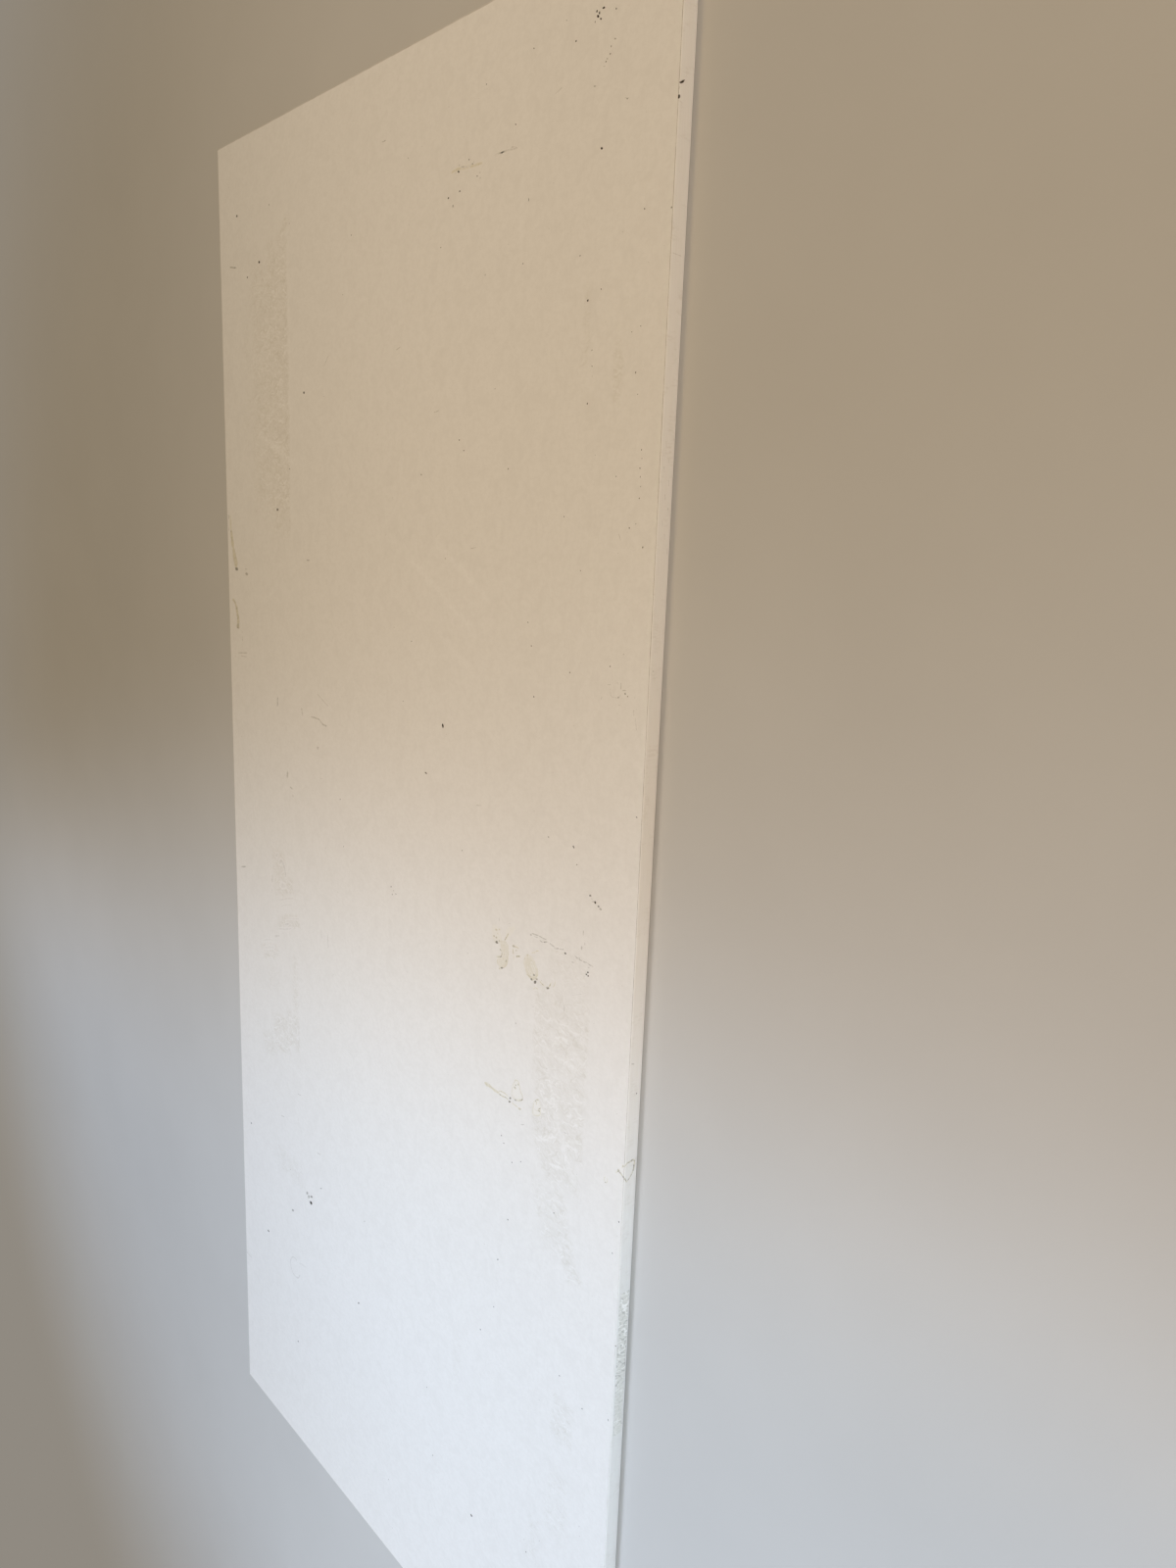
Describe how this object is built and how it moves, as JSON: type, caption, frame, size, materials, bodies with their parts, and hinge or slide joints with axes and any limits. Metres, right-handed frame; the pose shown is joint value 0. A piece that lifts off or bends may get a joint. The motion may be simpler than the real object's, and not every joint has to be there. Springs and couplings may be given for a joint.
{
  "type": "furniture panel",
  "caption": "Flat white-faced wood-based board with white plastic edge banding on all four edges, for cabinet sides, doors and shelves.",
  "frame": {"origin": "middle of the back face, the face that rests on the floor", "axes": "+X across the width towards the picture's right, +Y along the length towards the picture's top end, +Z out of the shown face"},
  "size_m": [0.955, 2.07, 0.018],
  "materials": {
    "white_decor": "semi-matt white melamine decor paper on wood-based board, fine pearl texture, dusty with rub marks",
    "edge_plastic": "matt white plastic edge banding"
  },
  "bodies": {
    "root": {"board": "white_decor", "edge_band_right": "edge_plastic", "edge_band_left": "edge_plastic", "edge_band_top": "edge_plastic", "edge_band_bottom": "edge_plastic"}
  },
  "joints": []
}
